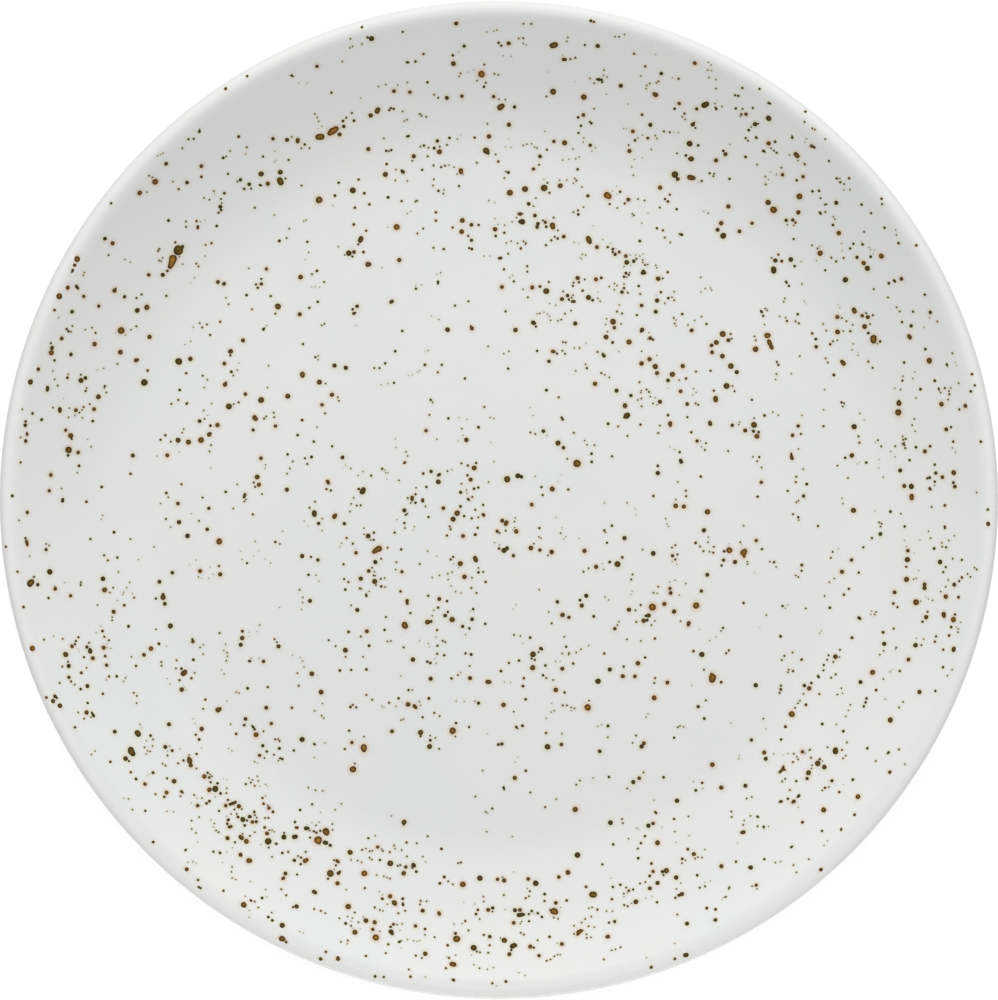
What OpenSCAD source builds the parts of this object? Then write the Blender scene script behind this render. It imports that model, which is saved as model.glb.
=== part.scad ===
// Coupe dinner plate in fired clay, thrown as one body with a foot ring and
// glazed all over except the foot it stands on.
// The standing face of the foot lies on z = 0, and the plate turns about the z axis.
// The section is drawn with x as the distance from that axis and y as the height.

/* [Plate] */
// Diameter over the glazed lip
plate_d = 280; // [250:1:320]
// Diameter of the flat well
well_d = 189; // [150:1:205]
// Thickness of the clay in the middle of the plate
well_t = 5.6; // [4:0.1:9]
// Lean of the wall where it rolls over into the lip, from level
wall_lean = 32; // [22:1:45]

/* [Lip] */
// Radius of the shoulder between the wall and the top of the lip
lip_shoulder_r = 6.8; // [4:0.1:12]
// Radius over the top of the lip
lip_top_r = 2.6; // [2:0.1:4]
// Turn of the top radius before the tighter edge takes over
lip_top_sweep = 35; // [20:1:75]
// Radius round the outer edge of the lip
lip_edge_r = 1.1; // [0.8:0.1:2]

/* [Foot ring] */
// Diameter at the middle of the standing face
foot_d = 156; // [130:1:170]
// Height of the foot below the underside of the plate
foot_h = 3.5; // [2:0.1:7]
// Width of the flat standing face
foot_face_w = 2.2; // [1:0.1:5]
// Radius of the edges of the standing face
foot_edge_r = 0.8; // [0.3:0.1:1.5]
// Draft of the flanks, from upright
foot_draft = 14; // [0:1:30]
// Fillet between the flanks and the plate
foot_fillet_r = 2; // [0.8:0.1:3]
// Height of the ceiling inside the ring above the standing face
recess_h = 3; // [2:0.1:5]
// Flat of the underside between the foot and the rise of the wall
under_flat_w = 8; // [2:0.1:14]

/* [Glaze] */
// Thickness of the fired glaze
glaze_t = 0.3; // [0.1:0.05:0.6]
// Height of the bare clay at the bottom of the foot
bare_band_h = 1.1; // [0.9:0.1:1.4]

/* [Hidden] */
clay_colour = "#d8cdbd";
glaze_colour = "#e4e4e1";
$fn = 180;

// Lap of each arc over its neighbour, so that no hairline step is left between them
seam = 0.002;

// Well, and the middle of the clay between its face and its back
foot_mid_r = foot_d / 2;
floor_z = recess_h + well_t;
clay_middle_z = (max(recess_h, foot_h) + floor_z) / 2;

// Lip, from its outer edge inwards: each radius runs on from the next one's tangent
top_r = lip_top_r + seam;
edge_r = lip_edge_r + 2 * seam;
edge_centre_r = plate_d / 2 - glaze_t - edge_r;
edge_inset = lip_top_r - lip_edge_r;
crest_r = edge_centre_r - edge_inset * sin(lip_top_sweep);

// Wall: one hollow arc from the rim of the well to the lip's shoulder
well_r = well_d / 2;
wall_arc_r = (crest_r - well_r) / sin(wall_lean) - lip_shoulder_r;
wall_centre = [well_r, floor_z + wall_arc_r];
wall_out = [sin(wall_lean), -cos(wall_lean)];
shoulder_centre = wall_centre + (wall_arc_r + lip_shoulder_r) * wall_out;
top_centre = shoulder_centre + [0, lip_shoulder_r - lip_top_r];
edge_centre = top_centre + edge_inset * [sin(lip_top_sweep), cos(lip_top_sweep)];
above_plate_z = top_centre[1] + lip_top_r + well_t;

// Points of one flank of the foot, as distances from the ring's middle. root is the
// height of the plate's underside there, and grow the glaze on every surface.
foot_normal = [cos(foot_draft), -sin(foot_draft)];
foot_edge_centre = [foot_face_w / 2, foot_edge_r];
function foot_flank_foot(grow) = foot_edge_centre + (foot_edge_r + grow - seam) * foot_normal;
function foot_flank_x(grow, height) =
    foot_flank_foot(grow)[0] + tan(foot_draft) * (height - foot_flank_foot(grow)[1]);
function foot_fillet_centre(root, grow) =
    let (radius = foot_fillet_r - grow, height = root - grow - radius)
    [foot_flank_x(grow, height) + radius / cos(foot_draft), height];

// Underside: one arc that leaves the flat beside the foot and meets the lip's edge
under_start_r = foot_mid_r + foot_fillet_centre(foot_h, 0)[0] + under_flat_w;
under_run = edge_centre[0] - under_start_r;
under_rise = edge_centre[1] - foot_h;
under_arc_r = (under_run ^ 2 + under_rise ^ 2 - lip_edge_r ^ 2) / (2 * (under_rise - lip_edge_r));
under_centre = [under_start_r, foot_h + under_arc_r];
under_out = (edge_centre - under_centre) / norm(edge_centre - under_centre);
lip_depth = 3 * well_t;

// A slice of a disc between two directions
module pie(centre, radius, from, to) {
    reach = 2 * radius;
    translate(centre) intersection() {
        circle(r = radius);
        polygon([
            [0, 0],
            reach * [cos(from), sin(from)],
            reach * [cos((from + to) / 2), sin((from + to) / 2)],
            reach * [cos(to), sin(to)]
        ]);
    }
}

// A disc about a point
module disc(centre, radius) {
    translate(centre) circle(r = radius);
}

// A rectangle from its lower inner corner to its upper outer one
module block(low, high) {
    translate(low) square(high - low);
}

// Everything above the underside of the plate, foot left out
module above_underside(grow) {
    block([0, recess_h - grow], [foot_mid_r, above_plate_z]);
    block([foot_mid_r, foot_h - grow], [under_start_r, above_plate_z]);
    intersection() {
        disc(under_centre, under_arc_r + grow + seam);
        block([foot_mid_r, 0], [plate_d, above_plate_z]);
    }
}

// The hollow wall, on down past the underside
module wall_section(grow) {
    reach = 2 * wall_arc_r;
    difference() {
        translate(wall_centre) polygon([[0, 0], [0, -reach], reach * wall_out]);
        disc(wall_centre, wall_arc_r - grow + seam);
    }
}

// The rounded lip, on down past the underside. The shoulder and the top are quarter
// discs or more, and lie inside the clay where they pass the points they meet at.
module lip_section(grow) {
    pie(shoulder_centre, lip_shoulder_r + grow, 90, 180);
    pie(top_centre, top_r + grow, 90 - lip_top_sweep, 180);
    disc(edge_centre, edge_r + grow);
    polygon([
        shoulder_centre,
        shoulder_centre - [0, lip_depth],
        edge_centre + lip_depth * under_out,
        edge_centre,
        top_centre
    ]);
}

// One flank of the foot ring, with its rounded bottom edge and its fillet, drawn
// outwards from the ring's middle
module foot_flank_section(root, grow) {
    fillet_centre = foot_fillet_centre(root, grow);
    fillet_r = foot_fillet_r - grow;
    disc(foot_edge_centre, foot_edge_r + grow);
    difference() {
        polygon([
            [0, -grow],
            [foot_edge_centre[0], -grow],
            foot_edge_centre,
            foot_flank_foot(grow),
            fillet_centre - fillet_r * foot_normal,
            fillet_centre,
            [fillet_centre[0], clay_middle_z],
            [0, clay_middle_z]
        ]);
        disc(fillet_centre, fillet_r + seam);
    }
}

// The whole section, with every surface moved outwards by grow
module plate_section(grow) {
    intersection() {
        above_underside(grow);
        union() {
            block([0, 0], [crest_r, floor_z + grow]);
            wall_section(grow);
            lip_section(grow);
        }
    }
    translate([foot_mid_r, 0]) foot_flank_section(foot_h, grow);
    translate([foot_mid_r, 0]) mirror([1, 0]) foot_flank_section(recess_h, grow);
}

// Glaze on the clay's whole section, before it is wiped off the foot
module glaze_section() {
    difference() {
        plate_section(glaze_t);
        plate_section(0);
    }
}

// Fired clay: well, wall, lip and foot ring in one piece
module body() {
    color(clay_colour) rotate_extrude() plate_section(0);
}

// Glaze over the face and the lip, and down the back to the side of the foot
module glaze_coat() {
    color(glaze_colour) rotate_extrude() intersection() {
        glaze_section();
        union() {
            block([0, clay_middle_z], [plate_d, above_plate_z]);
            block([foot_mid_r, bare_band_h], [plate_d, above_plate_z]);
        }
    }
}

// Glaze inside the foot ring, cut off from the rest by the bare standing face
module recess_glaze() {
    color(glaze_colour) rotate_extrude() intersection() {
        glaze_section();
        block([0, bare_band_h], [foot_mid_r, clay_middle_z]);
    }
}

body();
glaze_coat();
recess_glaze();
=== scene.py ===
import bisect
import math
import random

import bpy
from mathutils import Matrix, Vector, noise


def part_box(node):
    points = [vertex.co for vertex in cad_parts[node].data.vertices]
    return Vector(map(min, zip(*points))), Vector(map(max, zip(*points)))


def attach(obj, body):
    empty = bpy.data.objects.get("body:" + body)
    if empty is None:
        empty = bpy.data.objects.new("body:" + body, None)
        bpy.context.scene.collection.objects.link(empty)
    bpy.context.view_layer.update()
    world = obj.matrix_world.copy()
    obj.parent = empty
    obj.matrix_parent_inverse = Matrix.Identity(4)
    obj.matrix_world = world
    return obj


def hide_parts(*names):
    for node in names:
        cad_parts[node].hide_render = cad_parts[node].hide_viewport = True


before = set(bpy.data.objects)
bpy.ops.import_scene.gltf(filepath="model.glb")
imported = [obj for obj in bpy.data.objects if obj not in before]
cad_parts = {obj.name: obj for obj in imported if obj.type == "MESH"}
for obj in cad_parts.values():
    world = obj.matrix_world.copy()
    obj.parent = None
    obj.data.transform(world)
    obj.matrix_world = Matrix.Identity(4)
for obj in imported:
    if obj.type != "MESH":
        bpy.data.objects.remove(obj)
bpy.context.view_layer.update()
scene = bpy.context.scene
mm = 0.001
tiny = 1e-9                       # keeps a division by nothing from failing
print("frame loaded:", ", ".join(sorted(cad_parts)))


# Section of the plate, in millimetres: distance from the axis, then height.
# The sizes are those that the solids were drawn with.
plateShape = {
    "width": 2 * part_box("glaze_coat")[1].x / mm,
    "wellWidth": 189.0,
    "clayThickness": 5.6,
    "wallLean": 32.0,             # degrees from level, where the wall meets the lip
    "shoulderRadius": 6.8,
    "topRadius": 2.6,
    "topSweep": 35.0,             # degrees of the lip's top before its tighter edge
    "edgeRadius": 1.1,
    "footWidth": 156.0,
    "footHeight": 3.5,
    "footFaceWidth": 2.2,
    "footEdgeRadius": 0.8,
    "footDraft": 14.0,
    "footFilletRadius": 2.0,
    "recessHeight": 3.0,
    "underFlatWidth": 8.0,
    "glazeThickness": 0.3,
    "bareBandHeight": 1.1,
    "glazeEndRadius": 0.24,       # bead where the wiped glaze stops on the foot
}


def arcOf(centre, radius, start, end, hollow=False):
    return {
        "centre": Vector(centre), "radius": radius,
        "start": math.radians(start), "end": math.radians(end),
        "side": -1.0 if hollow else 1.0,
        "length": abs(math.radians(end - start)) * radius,
    }


def lineOf(start, end):
    start, end = Vector(start), Vector(end)
    return {"from": start, "to": end, "length": (end - start).length}


def pointAlong(stretch, share):
    # a point of one stretch of the section, and the way its surface faces
    if "centre" in stretch:
        angle = stretch["start"] + (stretch["end"] - stretch["start"]) * share
        ray = Vector((math.cos(angle), math.sin(angle)))
        return stretch["centre"] + stretch["radius"] * ray, stretch["side"] * ray
    way = (stretch["to"] - stretch["from"]).normalized()
    return stretch["from"].lerp(stretch["to"], share), Vector((-way.y, way.x))


def plateSection(grow):
    # from the middle of the well over the lip and down the back to the foot's flank,
    # with every surface moved outwards by grow
    p = plateShape
    wellRadius = p["wellWidth"] / 2
    floorHeight = p["recessHeight"] + p["clayThickness"]
    lean, sweep = math.radians(p["wallLean"]), math.radians(p["topSweep"])
    edgeInset = p["topRadius"] - p["edgeRadius"]
    edgeCentreRadius = p["width"] / 2 - p["glazeThickness"] - p["edgeRadius"]
    crestRadius = edgeCentreRadius - edgeInset * math.sin(sweep)
    wallRadius = (crestRadius - wellRadius) / math.sin(lean) - p["shoulderRadius"]
    wallCentre = Vector((wellRadius, floorHeight + wallRadius))
    wallOut = Vector((math.sin(lean), -math.cos(lean)))
    shoulderCentre = wallCentre + (wallRadius + p["shoulderRadius"]) * wallOut
    topCentre = shoulderCentre + Vector((0, p["shoulderRadius"] - p["topRadius"]))
    edgeCentre = topCentre + edgeInset * Vector((math.sin(sweep), math.cos(sweep)))

    draft = math.radians(p["footDraft"])
    flankOut = Vector((math.cos(draft), -math.sin(draft)))
    flankDown = Vector((-math.sin(draft), -math.cos(draft)))
    footEdgeCentre = Vector(((p["footWidth"] + p["footFaceWidth"]) / 2, p["footEdgeRadius"]))
    flankFoot = footEdgeCentre + (p["footEdgeRadius"] + grow) * flankOut
    filletRadius = p["footFilletRadius"] - grow
    filletHeight = p["footHeight"] - grow - filletRadius
    filletCentre = Vector((
        flankFoot.x + math.tan(draft) * (filletHeight - flankFoot.y) + filletRadius / math.cos(draft),
        filletHeight,
    ))

    # the back's arc leaves the flat beside the foot and meets the lip's edge
    plainFilletRadius = p["footFilletRadius"]
    plainFoot = footEdgeCentre + p["footEdgeRadius"] * flankOut
    plainHeight = p["footHeight"] - plainFilletRadius
    underStart = (plainFoot.x + math.tan(draft) * (plainHeight - plainFoot.y)
                  + plainFilletRadius / math.cos(draft) + p["underFlatWidth"])
    underRun = edgeCentre.x - underStart
    underRise = edgeCentre.y - p["footHeight"]
    underRadius = ((underRun ** 2 + underRise ** 2 - p["edgeRadius"] ** 2)
                   / (2 * (underRise - p["edgeRadius"])))
    underCentre = Vector((underStart, p["footHeight"] + underRadius))
    underWay = edgeCentre - underCentre
    underAngle = math.degrees(math.atan2(underWay.y, underWay.x))

    flankTop = filletCentre - filletRadius * flankOut
    bead = min(p["glazeEndRadius"], grow)
    flankEndHeight = p["bareBandHeight"] + bead
    flankEnd = flankTop + flankDown * ((flankTop.y - flankEndHeight) / math.cos(draft))
    stretches = [
        lineOf((0, floorHeight + grow), (wellRadius, floorHeight + grow)),
        arcOf(wallCentre, wallRadius - grow, -90, p["wallLean"] - 90, hollow=True),
        arcOf(shoulderCentre, p["shoulderRadius"] + grow, 90 + p["wallLean"], 90),
        arcOf(topCentre, p["topRadius"] + grow, 90, 90 - p["topSweep"]),
        arcOf(edgeCentre, p["edgeRadius"] + grow, 90 - p["topSweep"], underAngle),
        arcOf(underCentre, underRadius + grow, underAngle, -90),
        lineOf((underStart, p["footHeight"] - grow), (filletCentre.x, p["footHeight"] - grow)),
        arcOf(filletCentre, filletRadius, 90, 180 - p["footDraft"], hollow=True),
        lineOf(flankTop, flankEnd),
    ]
    if bead:
        stretches.append(arcOf(flankEnd - bead * flankOut, bead, -p["footDraft"], -p["footDraft"] - 90))
    return stretches


glazeSection = plateSection(plateShape["glazeThickness"])
claySection = plateSection(0)
stretchEnds = [sum(s["length"] for s in glazeSection[:n + 1]) for n in range(len(glazeSection))]
# places in the section of the wall, the lip's top and edge, and the flat beside the foot
wallStretch, topStretch, edgeStretch, flatStretch = 1, 3, 4, 6


def sectionAt(along):
    # a point of the glaze's outer surface, by its distance along the section
    for stretch, end in zip(glazeSection, stretchEnds):
        if along <= end:
            return pointAlong(stretch, 1 - (end - along) / stretch["length"])
    return pointAlong(glazeSection[-1], 1)


# Camera, placed by the outline that it sees
cameraSetting = {
    "height": 1.25,               # above the floor, straight over the plate
    "plateShare": 0.49915,        # radius of the plate's outline, as a share of the picture's height
    "sensor": 36.0,
    "shift": (0.0001, -0.0003),   # the plate lies this far off the picture's middle
}


# Glaze
glazeCoat = {
    "segments": 400,
    "steps": (24, 30, 12, 10, 16, 30, 3, 8, 2, 4),    # rows in each stretch of the section
    "insideSteps": (6, 12, 5, 4, 6, 12, 1, 4, 1),
    "waver": 0.035,               # millimetres that the fired surface wanders from true
    "waverLength": 42.0,
    "waverFade": 12.0,            # of the wall, over which the waver dies away towards the lip
    "waverSlice": 7.0,            # height at which the noise is cut
}


def waverAt(x, y, along):
    # slow unevenness of the face, none of it on the lip
    fade = max(0.0, min(1.0, (stretchEnds[wallStretch] - along) / glazeCoat["waverFade"]))
    spot = Vector((x, y, glazeCoat["waverSlice"])) / glazeCoat["waverLength"]
    return glazeCoat["waver"] * fade * noise.noise(spot)


def glazePoint(along, turn, lift=0.0):
    # a point on the glaze, in millimetres, lifted off it along its normal
    point, facing = sectionAt(along)
    c, s = math.cos(turn), math.sin(turn)
    rise = lift + waverAt(point.x * c, point.x * s, along)
    radius = point.x + facing.x * rise
    return Vector((radius * c, radius * s, point.y + facing.y * rise))


def addMesh(name, points, faces, material):
    mesh = bpy.data.meshes.new(name)
    mesh.from_pydata([p * mm for p in points], [], faces)
    mesh.polygons.foreach_set("use_smooth", [True] * len(mesh.polygons))
    mesh.materials.append(material)
    piece = bpy.data.objects.new(name, mesh)
    scene.collection.objects.link(piece)
    return piece


def makeGlaze(material):
    # out along the glaze's surface and back along the clay under it, closed at the axis
    count = glazeCoat["segments"]
    turns = [2 * math.pi * n / count for n in range(count)]
    rows = []
    start = 0.0
    for stretch, steps in zip(glazeSection, glazeCoat["steps"]):
        for n in range(1, steps + 1):
            along = start + stretch["length"] * n / steps
            rows.append([glazePoint(along, turn) for turn in turns])
        start += stretch["length"]
    for stretch, steps in reversed(list(zip(claySection, glazeCoat["insideSteps"]))):
        for n in range(steps):
            point = pointAlong(stretch, 1 - n / steps)[0]
            rows.append([Vector((point.x * math.cos(t), point.x * math.sin(t), point.y)) for t in turns])
    points = [p for row in rows for p in row]
    faces = []
    for row in range(len(rows) - 1):
        for n in range(count):
            m = (n + 1) % count
            faces.append((row * count + n, (row + 1) * count + n, (row + 1) * count + m, row * count + m))
    top, bottom = len(points), len(points) + 1
    clayMiddle = pointAlong(claySection[0], 0)[0]
    points += [glazePoint(0.0, 0.0), Vector((0, 0, clayMiddle.y))]
    last = (len(rows) - 1) * count
    for n in range(count):
        m = (n + 1) % count
        faces.append((top, n, m))
        faces.append((bottom, last + m, last + n))
    return addMesh("glaze", points, faces, material)


# Materials
def newMaterial(name):
    material = bpy.data.materials.new(name)
    material.use_nodes = True
    nodes, links = material.node_tree.nodes, material.node_tree.links
    shader = next(n for n in nodes if n.type == "BSDF_PRINCIPLED")
    return material, nodes, links, shader


def feed(links, socket, value):
    # another node's value, or else a fixed one
    if isinstance(value, bpy.types.NodeSocket):
        links.new(value, socket)
    else:
        socket.default_value = value


def noiseNode(nodes, links, coords, scale, detail=3.0, roughness=0.5):
    node = nodes.new("ShaderNodeTexNoise")
    node.inputs["Scale"].default_value = scale
    node.inputs["Detail"].default_value = detail
    node.inputs["Roughness"].default_value = roughness
    links.new(coords, node.inputs["Vector"])
    return node.outputs["Fac"]


whole = (0.0, 1.0)                # range of a share


def rangeNode(nodes, links, value, given, wanted=whole, smooth=False):
    node = nodes.new("ShaderNodeMapRange")
    if smooth:
        node.interpolation_type = "SMOOTHSTEP"
    for socket, number in zip(("From Min", "From Max", "To Min", "To Max"), (*given, *wanted)):
        node.inputs[socket].default_value = number
    links.new(value, node.inputs["Value"])
    return node.outputs["Result"]


def mixNode(nodes, links, share, first, second):
    node = nodes.new("ShaderNodeMix")
    node.data_type = "RGBA"
    for name, kind, value in (("Factor", "VALUE", share), ("A", "RGBA", first), ("B", "RGBA", second)):
        feed(links, next(i for i in node.inputs if (i.name, i.type) == (name, kind)), value)
    return next(o for o in node.outputs if o.type == "RGBA")


def mathNode(nodes, links, operation, first, second):
    node = nodes.new("ShaderNodeMath")
    node.operation = operation
    feed(links, node.inputs[0], first)
    feed(links, node.inputs[1], second)
    return node.outputs[0]


def addBump(nodes, links, height, distance, shader):
    bump = nodes.new("ShaderNodeBump")
    bump.inputs["Distance"].default_value = distance
    links.new(height, bump.inputs["Height"])
    links.new(bump.outputs["Normal"], shader.inputs["Normal"])


# Scales are per metre, and distances and heights in metres. What ends in Over is the
# range of a noise, or of the distance from the axis, over which a finish or the painted light and shade of
# the lip comes in.
glazeFinishAndPaintedLight = {
    "warm": (0.781, 0.787, 0.775, 1),
    "cool": (0.766, 0.780, 0.772, 1),
    "drift": 28.0,                # patches of warmer and cooler glaze
    "driftOver": (0.35, 0.65),
    "paintedLipLight": (0.824, 0.831, 0.818, 1),    # painted light: lighter from the top of the lip outwards, where the lip catches the light
    "paintedLipLightOver": (0.1361, 0.1382),
    "paintedEdgeShade": (0.660, 0.667, 0.656, 1),    # painted shade: darker over the lip's edge
    "paintedEdgeShadeOver": (0.1383, 0.1399),
    "roughness": (0.27, 0.34),
    "sheen": 160.0,
    "sheenOver": (0.3, 0.7),
    "peel": {"scale": 620.0, "detail": 1.0},    # orange peel
    "peelHeight": 0.000012,
}


def glazeColourAndPaintedLight(nodes, links, coords):
    patches = noiseNode(nodes, links, coords, glazeFinishAndPaintedLight["drift"])
    share = rangeNode(nodes, links, patches, glazeFinishAndPaintedLight["driftOver"], smooth=True)
    colour = mixNode(nodes, links, share, glazeFinishAndPaintedLight["cool"], glazeFinishAndPaintedLight["warm"])
    flat = nodes.new("ShaderNodeVectorMath")
    flat.operation = "MULTIPLY"
    flat.inputs[1].default_value = (1, 1, 0)
    links.new(coords, flat.inputs[0])
    reach = nodes.new("ShaderNodeVectorMath")
    reach.operation = "LENGTH"
    links.new(flat.outputs[0], reach.inputs[0])
    # painted light on the lip and painted shade over its edge, laid on the glaze's own colour
    for part in ("paintedLipLight", "paintedEdgeShade"):
        edge = rangeNode(nodes, links, reach.outputs["Value"], glazeFinishAndPaintedLight[part + "Over"], smooth=True)
        colour = mixNode(nodes, links, edge, colour, glazeFinishAndPaintedLight[part])
    return colour


def addPeel(nodes, links, coords, shader):
    peel = noiseNode(nodes, links, coords, **glazeFinishAndPaintedLight["peel"])
    addBump(nodes, links, peel, glazeFinishAndPaintedLight["peelHeight"], shader)


def makeGlazeMaterial():
    material, nodes, links, shader = newMaterial("speckledGlaze")
    coords = nodes.new("ShaderNodeTexCoord").outputs["Object"]
    links.new(glazeColourAndPaintedLight(nodes, links, coords), shader.inputs["Base Color"])
    sheen = noiseNode(nodes, links, coords, glazeFinishAndPaintedLight["sheen"])
    roughness = rangeNode(nodes, links, sheen, glazeFinishAndPaintedLight["sheenOver"], glazeFinishAndPaintedLight["roughness"])
    links.new(roughness, shader.inputs["Roughness"])
    addPeel(nodes, links, coords, shader)
    return material


clayFinish = {
    "light": (0.63, 0.53, 0.41, 1),
    "dark": (0.50, 0.40, 0.29, 1),
    "patches": {"scale": 120.0, "detail": 5.0, "roughness": 0.6},
    "patchesOver": (0.3, 0.7),
    "grain": 900.0,
    "grainHeight": 0.00006,
    "roughness": (0.72, 0.92),
}


def makeClayMaterial():
    finish = clayFinish
    material, nodes, links, shader = newMaterial("bareClay")
    coords = nodes.new("ShaderNodeTexCoord").outputs["Object"]
    patches = noiseNode(nodes, links, coords, **finish["patches"])
    share = rangeNode(nodes, links, patches, finish["patchesOver"])
    links.new(mixNode(nodes, links, share, finish["dark"], finish["light"]), shader.inputs["Base Color"])
    grain = noiseNode(nodes, links, coords, finish["grain"])
    links.new(rangeNode(nodes, links, grain, whole, finish["roughness"]), shader.inputs["Roughness"])
    addBump(nodes, links, grain, finish["grainHeight"], shader)
    return material


glazeMaterial = makeGlazeMaterial()
clayMaterial = makeClayMaterial()
glaze = makeGlaze(glazeMaterial)
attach(glaze, "root")
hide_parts("glaze_coat")
print("glaze made:", len(glaze.data.polygons), "faces")

for name, material in (("body", clayMaterial), ("recess_glaze", glazeMaterial)):
    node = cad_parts[name]
    node.data.materials.clear()
    node.data.materials.append(material)
print("finishes laid on the clay and the recess")
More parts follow.
